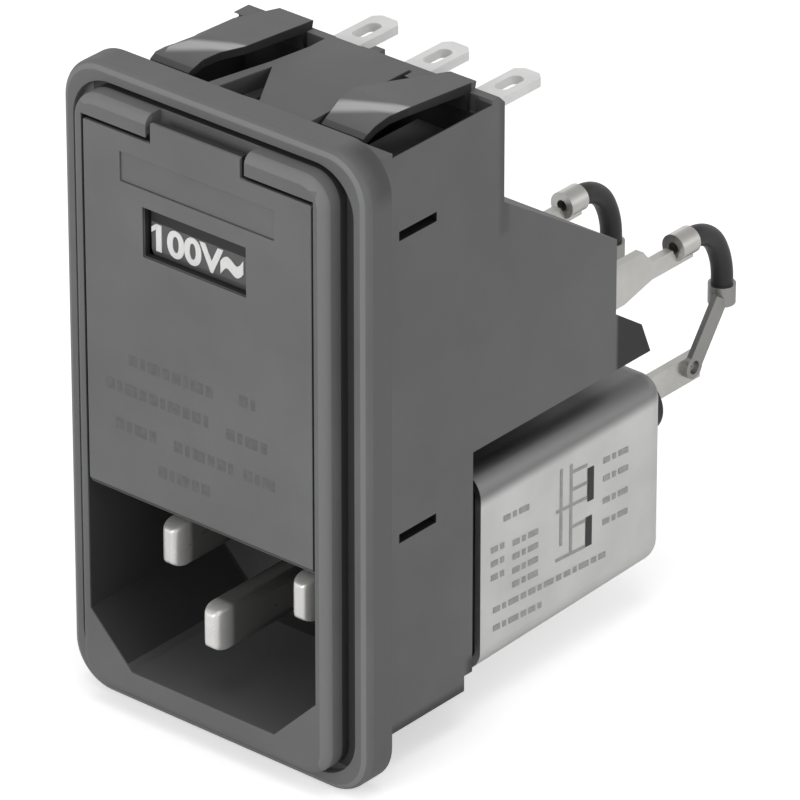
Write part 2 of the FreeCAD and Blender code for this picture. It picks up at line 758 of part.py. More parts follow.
# Link strips: flat bars from the other two fuse caps up to the drum
for name, side, lift in (("a", -1, fuse_z[0]), ("b", 1, fuse_z[1])):
    link = piece(f"link_strip_{name}")
    add(link, "y", contact_front, contact_back, poly(*[(side * u, v) for u, v in (
        (pad_inner, lift - pad_half), (link_outer, lift - pad_half), (link_outer, link_top),
        (ring_start, link_top), (ring_start, link_top - link_arm),
        (link_outer - link_width, link_top - link_arm), (link_outer - link_width, lift + pad_half),
        (pad_inner, lift + pad_half))]))

# Filter can: drawn metal box pushed over the spigot, open in front
can = piece("can_shell")
for kind, inset in (("PartDesign::AdditiveLoft", 0), ("PartDesign::SubtractiveLoft", can_sheet)):
    half = can_half - inset
    corner = can_corner - inset
    mouth = sketch_on(can, "y", can_front, round_rect(
        -half, half, inset - can_low, -(can_high + inset), corner))
    end = sketch_on(can, "y", can_back - inset, round_rect(
        can_taper - half, half - can_taper, can_rise + inset - can_low,
        -(can_high + can_fall + inset), corner))
    loft = can.newObject(kind, "can_shell_loft")
    loft.Profile = mouth
    loft.Sections = [end]
soften(can, "Fillet", can_round, flat_at("y", can_back))
soften(can, "Fillet", can_round - can_sheet, flat_at("y", can_back - can_sheet))
can_wall = (can_back - can_sheet - 0.2, can_back)
for x in terminal_x.values():
    cut(can, "y", *can_wall, circle(x, -(out_level + bushing_drop), bushing_neck))
cut(can, "y", *can_wall, circle(-earth_side, -earth_level, rivet_radius))

# Output tabs and the round bushings that carry them through the can's back
for name, x in terminal_x.items():
    bushing = piece(f"bushing_{name}")
    bushing_z = -(out_level + bushing_drop)
    add(bushing, "y", can_back - can_sheet - 0.8, can_back, circle(x, bushing_z, bushing_neck))
    add(bushing, "y", can_back, can_back + bushing_proud, circle(x, bushing_z, bushing_radius))
    flat_z = out_half + bushing_flat - out_level
    cut(bushing, "y", can_back, can_back + bushing_proud, rect(
        x - bushing_radius, x + bushing_radius, flat_z, flat_z + bushing_radius))
    blade_box = rect(x - blade / 2, x + blade / 2, -(out_level + out_half), out_half - out_level)
    cut(bushing, "y", can_back - can_sheet - 0.8, can_back + bushing_proud, blade_box)
    tab = piece(f"output_tab_{name}")
    inner_end = board_back + film_length if name == "a" else board_back + core_width + 2 * winding_thick
    add(tab, "y", inner_end, can_back + out_length, blade_box)
    cut(tab, "x", x - blade / 2, x + blade / 2, circle(hole_y, hole_z, out_hole))

# Earth tab riveted to the can's back
earth = piece("earth_tab")
foot_low = -(earth_level + earth_foot / 2)
add(earth, "x", -(earth_side + earth_half), earth_half - earth_side, poly(
    (can_back, foot_low), (can_back + earth_length, foot_low), (can_back + earth_length, foot_low + blade),
    (can_back + blade, foot_low + blade), (can_back + blade, foot_low + earth_foot),
    (can_back, foot_low + earth_foot)))
cut(earth, "y", can_back, can_back + blade, circle(-earth_side, -earth_level, rivet_radius))
rivet = piece("earth_rivet")
rivet_in = can_back - can_sheet
rivet_out = can_back + blade
add(rivet, "y", rivet_in - rivet_cap, rivet_in, circle(-earth_side, -earth_level, rivet_head))
add(rivet, "y", rivet_in, rivet_out, circle(-earth_side, -earth_level, rivet_radius))
add(rivet, "y", rivet_out, rivet_out + rivet_cap, circle(-earth_side, -earth_level, rivet_head))


def bent_path(corners, radii):
    """A wire of straight runs with a tangent arc in place of each inner corner."""
    edges = []
    start = corners[0]
    for before, corner, after, radius in zip(corners, corners[1:], corners[2:], radii):
        back = (before - corner).normalize()
        ahead = (after - corner).normalize()
        half = back.getAngle(ahead) / 2
        reach = radius / math.tan(half)
        middle = corner + (back + ahead).normalize() * (radius / math.sin(half) - radius)
        edges.append(Part.LineSegment(start, corner + back * reach).toShape())
        edges.append(Part.Arc(corner + back * reach, middle, corner + ahead * reach).toShape())
        start = corner + ahead * reach
    edges.append(Part.LineSegment(start, corners[-1]).toShape())
    return Part.Wire(edges)


# Jumper leads: sleeved wire from each crimp barrel over and down to a lug on the output tab
wire_begin = wire_start + barrel_lip
for name, x in terminal_x.items():
    level = -wire_level
    corners = [Vector(plain(x), plain(y), plain(z)) for y, z in (
        (wire_begin, level), (wire_start + loop_out, level),
        (wire_start + loop_far, level - loop_fall), (wire_start + loop_far, level - loop_drop))]
    path = bent_path(corners, [plain(bend_top), plain(bend_side)])
    ring = Part.Wire(Part.Circle(corners[0], Vector(0, 1, 0), plain(wire_radius)).toShape())
    wire = doc.addObject("Part::Feature", f"jumper_wire_{name}")
    wire.Label = f"jumper_wire_{name}"
    wire.Shape = path.makePipeShell([ring], True, False)
    nodes.append(wire)
    spare = abs(wire.Shape.Volume / (math.pi * plain(wire_radius) ** 2 * path.Length) - 1)
    if spare > 0.01:
        raise RuntimeError("jumper volume does not match its length")

    # The lug: a bar from a ring on the tab's hole up to a short cup on the wire's lower end
    lug = piece(f"jumper_lug_{name}")
    side_low = x + blade / 2
    side_high = side_low + lug_thick
    end_y = wire_start + loop_far
    end_z = level - loop_drop
    top_y = end_y - lug_lean
    top_z = end_z + lug_lift
    add(lug, "x", side_low, side_high, poly(
        (hole_y - lug_across, hole_z + lug_slope), (hole_y + lug_across, hole_z - lug_slope),
        (top_y + lug_across, top_z - lug_slope), (top_y - lug_across, top_z + lug_slope)))
    add(lug, "x", side_low, side_high, circle(hole_y, hole_z, lug_ring))
    add(lug, "z", end_z - cup_floor, end_z + cup_depth, circle(x, end_y, wire_radius + barrel_sheet))
    cut(lug, "z", end_z, end_z + cup_depth, circle(x, end_y, wire_radius))
    cut(lug, "x", side_low, side_high, circle(hole_y, hole_z, out_hole))

# Filter board on the spigot's end, with holes for the pin tails
board = piece("filter_board")
board_half = spigot_half - board_margin
add(board, "y", spigot_back, board_back, rect(
    -board_half, board_half, spigot_low + board_margin + can_rise, spigot_high - board_margin - can_fall))
for x, z, lead in pin_places.values():
    cut(board, "y", spigot_back, board_back, rect(
        x - pin_width / 2 - board_clear, x + pin_width / 2 + board_clear,
        z - pin_height / 2 - board_clear, z + pin_height / 2 + board_clear))

# Common mode choke: ring core with a winding on each side
core_front = board_back + winding_thick
core_back = core_front + core_width
core = piece("choke_core")
add(core, "y", core_front, core_back, circle(choke_side, -choke_level, core_radius, core_bore))
for name, side in (("a", -1), ("b", 1)):
    winding = piece(f"choke_winding_{name}")
    add(winding, "y", board_back, core_back + winding_thick, circle(
        choke_side, -choke_level, core_radius + winding_thick, core_bore - winding_thick))
    cut(winding, "y", core_front, core_back, circle(choke_side, -choke_level, core_radius, core_bore))
    ends = [choke_side + side * winding_gap, choke_side - side * (core_radius + winding_thick + 1)]
    ends.sort(key=plain)
    cut(winding, "y", board_back, core_back + winding_thick, rect(
        *ends, -(choke_level + core_radius + 2), core_radius + 2 - choke_level))

# Film capacitor across the line
film = piece("film_capacitor")
add(film, "y", board_back, board_back + film_length, rect(
    -(film_side + film_width), -film_side, -(film_level + film_height), -film_level))
soften(film, "Fillet", pin_bevel, flat_at("y", board_back + film_length))

# Two disc capacitors to earth, standing on their leads
for name, step in (("a", 0), ("b", 1)):
    disc = piece(f"disc_capacitor_{name}")
    x = step * disc_pitch - disc_side
    centre_y = board_back + disc_stand
    add(disc, "x", x - disc_thick / 2, x + disc_thick / 2, circle(centre_y, -disc_level, disc_radius))
    for side in (-1, 1):
        add(disc, "y", board_back, centre_y, circle(x, side * lead_spread - disc_level, lead_radius))

# Bleed resistor with one lead straight to the board and one folded back beside it
bleed = piece("bleed_resistor")
bleed_front = board_back + bleed_stand
add(bleed, "y", bleed_front, bleed_front + bleed_length, circle(choke_side, -bleed_level, bleed_radius))
add(bleed, "y", board_back, bleed_front, circle(choke_side, -bleed_level, lead_radius))
fold = bleed_radius + 2 * lead_radius
back_end = bleed_front + bleed_length
add(bleed, "y", back_end, back_end + 2 * lead_radius, rect(
    choke_side - lead_radius, choke_side + fold + lead_radius, -bleed_level - lead_radius,
    lead_radius - bleed_level))
add(bleed, "y", board_back, back_end, circle(choke_side + fold, -bleed_level, lead_radius))

# Door: leaf with a pry tab, window over the drum, bare recess, hinge barrel and stubs
door = piece("door")
add(door, "y", front, leaf_back, rect(-door_half, door_half, hinge_z, door_top))
add(door, "y", front, front + pry_thick, rect(-pry_left, pry_right, door_top - 1, pry_top))
add(door, "x", -door_half, door_half, circle(hinge_y, hinge_z, hinge_radius))
add(door, "x", -(door_half + stub_length), door_half + stub_length, circle(hinge_y, hinge_z, stub_radius))
cut(door, "y", front, leaf_back, rect(
    -(window_shift + window_width / 2), window_width / 2 - window_shift,
    drum_lift - window_height / 2, drum_lift + window_height / 2))
cut(door, "y", front, front + recess_depth, rect(
    -recess_width / 2, recess_width / 2, drum_lift + recess_rise - recess_height / 2,
    drum_lift + recess_rise + recess_height / 2))

# Fuse carrier: block with two cradles on the door's back
carrier = piece("fuse_carrier")
carrier_back = fuse_y + carrier_lip
add(carrier, "y", leaf_back, carrier_back, rect(
    -carrier_half, carrier_half, fuse_z[0] - carrier_edge, fuse_z[1] + carrier_edge))
for z in fuse_z:
    cut(carrier, "x", -cradle_half, cradle_half, circle(fuse_y, z, fuse_radius + carrier_clear))

# Fuses: glass tube, two end caps and the wire inside
half_length = fuse_length / 2
for name, z in (("low", fuse_z[0]), ("high", fuse_z[1])):
    tube = piece(f"fuse_{name}_glass")
    add(tube, "x", cap_end - half_length, half_length - cap_end, circle(fuse_y, z, glass_radius))
    cut(tube, "x", cap_end - half_length, half_length - cap_end, circle(fuse_y, z, glass_bore))
    wire = piece(f"fuse_{name}_wire")
    add(wire, "x", cap_end - half_length, half_length - cap_end, circle(fuse_y, z, fuse_wire))
    for label, side in (("left", -1), ("right", 1)):
        cap = piece(f"fuse_{name}_cap_{label}")
        ends = [side * (half_length - cap_length), side * half_length]
        ends.sort(key=plain)
        add(cap, "x", *ends, circle(fuse_y, z, fuse_radius))
        ends = [side * (half_length - cap_length), side * (half_length - cap_end)]
        ends.sort(key=plain)
        cut(cap, "x", *ends, circle(fuse_y, z, glass_radius))

# Drum: four numbered flats in the middle, ring grooves at the ends, on a steel spindle
drum = piece("drum")
add(drum, "x", -drum_half, drum_half, circle(drum_y, drum_lift, drum_radius))
cut(drum, "x", -drum_half, drum_half, circle(drum_y, drum_lift, spindle_radius))
# The number band is the drum's wider middle: it reaches into the window and has four flats
band = (band_gap - window_shift - window_width / 2, window_width / 2 - window_shift - band_gap)
add(drum, "x", *band, circle(drum_y, drum_lift, band_radius, spindle_radius))
flat = band_radius - face_flat
for low, high in ((flat, band_radius + 1), (-(band_radius + 1), -flat)):
    cut(drum, "x", *band, rect(
        drum_y + low, drum_y + high, drum_lift - band_radius, drum_lift + band_radius))
    cut(drum, "x", *band, rect(
        drum_y - band_radius, drum_y + band_radius, drum_lift + low, drum_lift + high))
ring_inner = drum_radius + ring_proud - ring_thick
for name, side in (("left", -1), ("right", 1)):
    ends = [side * ring_start, side * (ring_start + ring_width)]
    ends.sort(key=plain)
    groove_low, groove_high = ends
    cut(drum, "x", groove_low, groove_high, circle(drum_y, drum_lift, drum_radius + 1, ring_inner))
    ring = piece(f"contact_ring_{name}")
    add(ring, "x", groove_low, groove_high, circle(drum_y, drum_lift, drum_radius + ring_proud, ring_inner))
spindle = piece("drum_spindle")
add(spindle, "x", -spindle_half, spindle_half, circle(drum_y, drum_lift, spindle_radius))

doc.recompute()
for item in doc.Objects:
    if "Invalid" in item.State or "Error" in item.State:
        raise RuntimeError(f"{item.Label} did not rebuild: {item.State}")
for node in nodes:
    if node.Shape.isNull() or not node.Shape.isValid() or len(node.Shape.Solids) != 1:
        raise RuntimeError(f"{node.Label} has no single sound solid ({len(node.Shape.Solids)})")
    node.Shape.exportStep(f"parts/{node.Label}.step")
    print(node.Label, round(node.Shape.Volume, 2))
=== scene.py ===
import bmesh
import bpy
import numpy as np
from mathutils import Matrix, Vector


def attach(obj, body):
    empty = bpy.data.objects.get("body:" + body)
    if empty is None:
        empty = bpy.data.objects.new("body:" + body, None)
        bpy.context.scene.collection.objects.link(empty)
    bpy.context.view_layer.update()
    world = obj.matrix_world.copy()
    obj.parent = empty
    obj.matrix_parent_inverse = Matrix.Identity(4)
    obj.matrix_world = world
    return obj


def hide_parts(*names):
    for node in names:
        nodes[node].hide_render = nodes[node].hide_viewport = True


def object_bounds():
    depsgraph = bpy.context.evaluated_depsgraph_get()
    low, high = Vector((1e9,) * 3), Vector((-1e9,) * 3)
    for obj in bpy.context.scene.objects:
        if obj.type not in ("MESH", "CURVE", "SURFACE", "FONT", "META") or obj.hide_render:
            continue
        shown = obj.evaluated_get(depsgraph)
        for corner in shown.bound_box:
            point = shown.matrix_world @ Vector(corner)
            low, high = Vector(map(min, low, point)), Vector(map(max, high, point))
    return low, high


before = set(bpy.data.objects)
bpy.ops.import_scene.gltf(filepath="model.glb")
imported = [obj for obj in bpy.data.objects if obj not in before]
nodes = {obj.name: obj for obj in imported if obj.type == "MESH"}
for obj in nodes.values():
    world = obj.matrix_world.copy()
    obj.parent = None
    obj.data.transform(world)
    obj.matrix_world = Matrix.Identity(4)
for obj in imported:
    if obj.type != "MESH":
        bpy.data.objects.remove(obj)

cad_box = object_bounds()
scene = bpy.context.scene
scene.view_settings.view_transform = "Standard"


# Studio: the viewpoint of the product picture, a white floor under the flange, a white sweep
# around it with a dimmer ceiling, and three broad soft lamps.
lens_data = bpy.data.cameras.new("viewpoint")
lens_data.lens = 378.5
lens_data.sensor_width = 36.0
lens_data.clip_start = 0.05
camera = bpy.data.objects.new("viewpoint", lens_data)
view_right = (0.7635, 0.6459, 0.0)
view_up = (-0.3070, 0.3629, 0.8800)
view_back = (0.5683, -0.6718, 0.4753)
view_place = (0.3921, -0.44375, 0.3212)
camera.matrix_world = Matrix((*zip(view_right, view_up, view_back, view_place), (0, 0, 0, 1)))
scene.collection.objects.link(camera)
scene.camera = camera


class Shade:
    """A socket of a node tree; sums and products of shades add Math nodes to that tree."""

    def __init__(self, tree, socket=None):
        self.tree = tree
        self.socket = socket

    def node(self, kind, settings=None, sockets=None, out=0):
        """Add one node: its settings first, then each socket's value or link; gives one output."""
        made = self.tree.nodes.new(kind)
        for name, value in (settings or {}).items():
            if name == "stops":
                stops = made.color_ramp.elements
                while len(stops) < len(value):
                    stops.new(1.0)
                for stop, (place, tone) in zip(stops, value):
                    stop.position = place
                    stop.color = (*tone, 1.0)
            else:
                setattr(made, name, value)
        for name, value in (sockets or {}).items():
            if isinstance(value, Shade):
                self.tree.links.new(value.socket, made.inputs[name])
            else:
                made.inputs[name].default_value = value
        return Shade(self.tree, made.outputs[out] if made.outputs else None)

    def maths(self, operation, *values):
        """One Math node of that operation on shades and numbers."""
        return self.node("ShaderNodeMath", {"operation": operation}, dict(enumerate(values)))

    def __add__(self, other):
        return self.maths("ADD", self, other)

    def __sub__(self, other):
        return self.maths("SUBTRACT", self, other)

    def __rsub__(self, other):
        return self.maths("SUBTRACT", other, self)

    def __mul__(self, other):
        return self.maths("MULTIPLY", self, other)

    def __gt__(self, other):
        return self.maths("GREATER_THAN", self, other)

    def __lt__(self, other):
        return self.maths("LESS_THAN", self, other)

    __radd__ = __add__
    __rmul__ = __mul__


surround = bpy.data.worlds.new("surround")
surround.use_nodes = True
surround.node_tree.nodes.clear()
scene.world = surround
sweep = Shade(surround.node_tree)
seen = sweep.node("ShaderNodeLightPath")
rays = seen.socket.node.outputs
glossy = Shade(sweep.tree, rays["Is Glossy Ray"])
through = Shade(sweep.tree, rays["Is Transmission Ray"])
toward = sweep.node("ShaderNodeTexCoord", out=0)
height = sweep.node("ShaderNodeSeparateXYZ", None, {0: toward}, out=2)
ceiling = sweep.node("ShaderNodeMapRange", {"interpolation_type": "SMOOTHSTEP"}, {
    "Value": height, "From Min": 0.05, "From Max": 0.75, "To Min": 1.0, "To Max": 0.38})
ambient = 0.36
bounced = glossy * ceiling
shown = sweep.maths("MINIMUM", seen + through + bounced, 1.0)
lit = ambient * (1 - seen - glossy - through)
glow = sweep.maths("MAXIMUM", lit, shown)
white = sweep.node("ShaderNodeBackground", None, {"Color": (1, 1, 1, 1), "Strength": glow})
sweep.node("ShaderNodeOutputWorld", None, {"Surface": white})


def lamp(name, place, aim, width, power):
    """A square area lamp at one place, turned to face another."""
    data = bpy.data.lights.new(name, "AREA")
    data.size = width
    data.energy = power
    made = bpy.data.objects.new(name, data)
    made.location = place
    made.rotation_euler = (Vector(aim) - Vector(place)).to_track_quat("-Z", "Y").to_euler()
    scene.collection.objects.link(made)


lamp("front_lamp", (-0.05, -0.55, 0.22), (0, 0, 0), 0.4, 1.25)
lamp("right_lamp", (0.6, 0.05, 0.25), (0, 0.01, 0), 0.4, 0.72)
lamp("top_lamp", (0.05, -0.05, 0.6), (0, 0.01, 0), 0.4, 1.05)

floor_level = cad_box[0][2] - 0.0001
floor_reach = 4.0
floor_mesh = bpy.data.meshes.new("floor")
corners = [(x * floor_reach, y * floor_reach, floor_level)
           for x, y in ((-1, -1), (1, -1), (1, 1), (-1, 1))]
floor_mesh.from_pydata(corners, [], [(0, 1, 2, 3)])
floor = bpy.data.objects.new("floor", floor_mesh)
scene.collection.objects.link(floor)
floor_paper = bpy.data.materials.new("floor_paper")
floor_paper.use_nodes = True
paper = floor_paper.node_tree.nodes["Principled BSDF"]
paper.inputs["Base Color"].default_value = (0.92, 0.92, 0.92, 1)
paper.inputs["Roughness"].default_value = 0.9
paper.inputs["Emission Strength"].default_value = 0.5
seen_floor = Shade(floor_paper.node_tree).node("ShaderNodeLightPath")
floor_paper.node_tree.links.new(seen_floor.socket, paper.inputs["Emission Color"])
floor_mesh.materials.append(floor_paper)


# Housing: one moulding of grey glass-filled nylon with a fine spark-eroded grain, and every corner has
# the small radius of the tool. Painted shade darkens the inlet well, the fuse room, grooves, slits and
# shaded edges, and painted highlights lighten the rounded front edges and the tongues' ramps.
def finish(name, **constants):
    """A material, its main shader and the shade that starts its expressions."""
    made = bpy.data.materials.new(name)
    made.use_nodes = True
    shader = made.node_tree.nodes["Principled BSDF"]
    for socket, value in constants.items():
        shader.inputs[socket.replace("_", " ")].default_value = value
    return made, shader, Shade(made.node_tree)


def feed(shader, socket, shade):
    """Link a shade to a socket of the main shader."""
    shade.tree.links.new(shade.socket, shader.inputs[socket])


def spot(base):
    """The surface point in the part's own frame, in metres."""
    return base.node("ShaderNodeTexCoord", out=3)


def axes_of(base, place):
    """The three numbers of a point."""
    return [base.node("ShaderNodeSeparateXYZ", None, {0: place}, out=i) for i in range(3)]


def scaled(tone, factor):
    """A plain tone made lighter or darker by a factor."""
    return tuple(factor * part for part in tone)


def step(base, value, least, most):
    """A smooth rise from nothing to one as the value passes between two lengths, millimetres."""
    return base.node("ShaderNodeMapRange", {"interpolation_type": "SMOOTHSTEP"}, {
        "Value": value, "From Min": least / 1000, "From Max": most / 1000})


def within(axes, low, high, soft=0.0):
    """One inside a box in the part's frame, millimetres, and nothing outside. Its limits may be
    soft."""
    mask = None
    for axis, least, most in zip(axes, low, high):
        if soft:
            rise = step(axis, axis, least - soft, least + soft)
            band = rise - step(axis, axis, most - soft, most + soft)
        else:
            band = (axis > least / 1000) * (axis < most / 1000)
        mask = band if mask is None else mask * band
    return mask


def blend(base, share, colour, tone):
    """A colour that goes over to a plain tone by a share."""
    parts = {0: share, 6: colour, 7: (*tone, 1.0)}
    return base.node("ShaderNodeMix", {"data_type": "RGBA"}, parts, out=2)


def patched(base, axes, colour, tone, patches):
    """A colour with boxes (low, high, factor, softness) where it is the tone scaled by the factor."""
    for low, high, factor, *soft in patches:
        colour = blend(base, within(axes, low, high, *soft), colour, scaled(tone, factor))
    return colour


def grain(base, place, scale, depth, strength):
    """A fine random pattern and the bump that it makes."""
    fine = base.node("ShaderNodeTexNoise", None, {"Vector": place, "Scale": scale, "Detail": 2.0})
    bump = base.node("ShaderNodeBump", None, {
        "Strength": strength, "Distance": depth, "Height": fine})
    return fine, bump


def beside(base, axes, start, stop, low, high):
    """One on an upright face over a line in X and Y, between two levels, millimetres."""
    (x0, y0), (x1, y1) = start, stop
    length = np.hypot(x1 - x0, y1 - y0)
    along_x, along_y = (x1 - x0) / length, (y1 - y0) / length
    off = (axes[0] - x0 / 1000) * along_y - (axes[1] - y0 / 1000) * along_x
    reach = 0.00006
    near = base.maths("ABSOLUTE", off) < reach
    return near * within(axes, (min(x0, x1), min(y0, y1), low), (max(x0, x1), max(y0, y1), high))


def highlight_streak(base, axes, right_edge):
    """One on a slanting streak over a tongue's ramp, whose right edge is given, millimetres: the place
    of a painted highlight.
    """
    slant, crossing = 0.34, 7.1
    off = axes[1] - slant * axes[0] - (crossing - slant * right_edge) / 1000
    streak = 1 - step(base, base.maths("ABSOLUTE", off), 0.2, 0.8)
    return streak * within(axes, (right_edge - 6.0, 4.0, 27.0), (right_edge - 0.07, 8.0, 28.6))


def moulded(name, tone, rough, patches=(), highlight_edges=(), faces=()):
    """Moulded plastic: a cloudy tone, a fine grain, boxes where the tone is scaled by a factor (painted
    shade below one, painted highlight above), a painted highlight streak on each tongue's ramp, and
    painted shade on upright faces."""
    highlight_tone, face_shade_factor, grain_depth = (0.46, 0.46, 0.46), 0.15, 0.00003
    made, shader, base = finish(name, Specular_IOR_Level=0.35)
    place = spot(base)
    axes = axes_of(base, place)
    cloud = base.node("ShaderNodeTexNoise", None, {"Vector": place, "Scale": 110.0, "Detail": 3.0})
    stops = ((0.3, scaled(tone, 0.92)), (0.7, scaled(tone, 1.08)))
    colour = base.node("ShaderNodeValToRGB", {"stops": stops}, {"Fac": cloud})
    colour = patched(base, axes, colour, tone, patches)
    # Painted highlight streaks on the tongues' ramps.
    for right_edge in highlight_edges:
        colour = blend(base, highlight_streak(base, axes, right_edge), colour, highlight_tone)
    # Painted shade on upright faces.
    for face in faces:
        colour = blend(base, beside(base, axes, *face), colour, scaled(tone, face_shade_factor))
    fine, bump = grain(base, place, 5200.0, grain_depth, 0.3)
    feed(shader, "Base Color", colour)
    feed(shader, "Roughness", rough - 0.06 + 0.12 * fine)
    feed(shader, "Normal", bump)
    return made


def flat_faces(made):
    """Shade the large faces of a smooth mesh as flat ones."""
    made.data.shade_smooth()
    flats = made.modifiers.new("flat_faces", "WEIGHTED_NORMAL")
    flats.mode = "FACE_AREA"
    flats.weight = 50


def eased(name, suffix, body, width, material):
    """A copy of a CAD node: its triangles are merged and joined into flat faces, and each sharp edge is
    rounded over by the width."""
    sharp = np.radians(35.0)
    mesh = nodes[name].data.copy()
    shell = bmesh.new()
    shell.from_mesh(mesh)
    bmesh.ops.remove_doubles(shell, verts=shell.verts, dist=1e-6)
    bmesh.ops.dissolve_limit(shell, angle_limit=0.005, verts=shell.verts, edges=shell.edges)
    shell.to_mesh(mesh)
    shell.free()
    mesh.materials.clear()
    mesh.materials.append(material)
    made = bpy.data.objects.new(f"{name}_{suffix}", mesh)
    scene.collection.objects.link(made)
    easing = made.modifiers.new("eased_edges", "BEVEL")
    easing.width = width
    easing.segments = 2
    easing.limit_method = "ANGLE"
    easing.angle_limit = sharp
    easing.use_clamp_overlap = True
    flat_faces(made)
    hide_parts(name)
    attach(made, body)


housing_tone = (0.150, 0.151, 0.151)
# Boxes (low, high, factor, softness) of painted shade inside the inlet well, the fuse room, the roof
# windows and the face groove.
inlet_well_shade = ((-12.3, -4.9, -24.7), (12.3, 11.25, -8.2), 0.34)
well_bottom_shade = ((-9.0, -4.9, -24.8), (12.3, 9.0, -23.9), 0.75)
well_end_shade = ((-12.3, 10.6, -24.7), (12.3, 11.25, -8.2), 0.5)
fuse_room_shade = ((-12.4, -4.9, -8.2), (12.4, 14.8, 25.3), 0.3)
roof_window_shade = ((-12.4, 2.4, 25.2), (12.4, 14.8, 26.85), 0.6)
face_groove_shade = ((-13.2, -3.1, -26.6), (14.7, -2.2, 25.9), 0.35)
groove_top_shade = ((-13.2, -3.1, 25.0), (13.2, -2.2, 27.5), 0.35)
groove_corner_shade = ((13.0, -3.1, 25.0), (14.15, -2.2, 26.9), 0.35)
# Painted highlights on the rounded front edges of the flange rim and the plateau.
rim_edge_highlight = ((-16.0, -3.13, -29.0), (16.0, -2.93, 29.0), 1.42)
plateau_right_highlight = ((12.35, -5.03, -26.9), (13.4, -4.25, 26.9), 1.32)
plateau_top_highlight = ((-13.4, -5.03, 26.0), (13.4, -4.25, 27.1), 1.32)
# Painted shade on the flange's side and corner beside the body, on the body's rear, lower and heel
# edges, on the tongues' sides, on the right window's rim, and on the spigot at the can's mouth.
flange_side_shade = ((15.3, -2.3, -29.0), (16.0, 0.1, 29.0), 0.86)
flange_corner_shade = ((12.8, -1.9, 24.8), (16.5, 0.6, 29.5), 0.5, 1.1)
rear_edge_shade = ((13.2, 15.7, 14.6), (14.3, 16.9, 28.0), 0.72, 0.4)
lower_edge_shade = ((13.0, 0.3, -26.5), (14.5, 14.0, -24.9), 0.45, 0.45)
heel_edge_shade = ((13.0, 11.9, -26.5), (14.5, 14.0, -22.6), 0.4, 0.5)
right_tongue_side_shade = ((11.33, 2.5, 25.0), (11.5, 15.0, 28.6), 0.2)
left_tongue_side_shade = ((-5.67, 2.5, 25.0), (-5.5, 15.7, 28.6), 0.15)
right_window_rim_shade = ((12.0, 2.5, 25.0), (13.7, 14.85, 26.6), 0.4)
can_spigot_shade = ((-13.25, 12.6, -25.2), (13.25, 16.0, -6.0), 0.1)
# The rear lug is darker.
rear_lug = ((13.3, 30.9, -3.9), (14.5, 35.5, 1.7), 0.2, 0.25)
# Painted shade in the side slits.
side_slit_shade = [((side - 0.65, 3.3, level - 0.5), (side + 0.65, 8.0, level + 0.5), 0.12)
              for side in (-13.1, 13.1) for level in (19.37, -7.79)]
# Right edges of the tongues, where their painted highlight streaks end.
tongue_edges = (-5.6, 11.4)
tongue_levels = (25.6, 28.6)
# Painted shade on the upright faces along each tongue's ramp, from knee to bend to tip.
shaded_tongue_faces = []
for knee, bend, tip in (
        ((11.4, 7.25), (10.17, 4.85), (9.95, 3.55)), ((-5.6, 7.25), (-7.9, 4.85), (-8.3, 3.55))):
    shaded_tongue_faces += [(knee, bend, *tongue_levels), (bend, tip, *tongue_levels)]
housing_finish = moulded("housing_plastic", housing_tone, 0.55, (
    rim_edge_highlight, plateau_right_highlight, plateau_top_highlight, flange_side_shade, flange_corner_shade, rear_edge_shade, lower_edge_shade, heel_edge_shade,
    face_groove_shade, groove_top_shade, groove_corner_shade, inlet_well_shade, well_bottom_shade, well_end_shade, fuse_room_shade, roof_window_shade,
    right_tongue_side_shade, left_tongue_side_shade, right_window_rim_shade, can_spigot_shade, rear_lug, *side_slit_shade),
    tongue_edges, shaded_tongue_faces)
eased("housing", "moulding", "base", 0.00015, housing_finish)


# Inlet pins: solid brass blades, nickel plated and rounded over at the tip. They are pressed through
# the well's floor, and painted shade darkens them in its depth.
def plated(name, tone, rough, streak=(1.0, 0.06, 1.0), scale=4500.0, metal=1.0, patches=()):
    """Plated metal: a slightly uneven tone, fine drawing marks along one axis, and boxes where the tone
    is scaled by a factor."""
    mark_depth = 0.000002
    made, shader, base = finish(name, Metallic=metal)
    place = spot(base)
    drawn = base.node("ShaderNodeMapping", None, {"Vector": place, "Scale": streak})
    fine, bump = grain(base, drawn, scale, mark_depth, 0.08)
    cloud = base.node("ShaderNodeTexNoise", None, {"Vector": place, "Scale": 260.0, "Detail": 3.0})
    stops = ((0.3, scaled(tone, 0.86)), (0.7, tone))
    colour = base.node("ShaderNodeValToRGB", {"stops": stops}, {"Fac": cloud})
    colour = patched(base, axes_of(base, place), colour, tone, patches)
    feed(shader, "Base Color", colour)
    feed(shader, "Roughness", rough - 0.1 + 0.2 * fine)
    feed(shader, "Normal", bump)
    return made


def dress(material, *names):
    """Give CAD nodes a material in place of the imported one."""
    for name in names:
        nodes[name].data.materials.clear()
        nodes[name].data.materials.append(material)


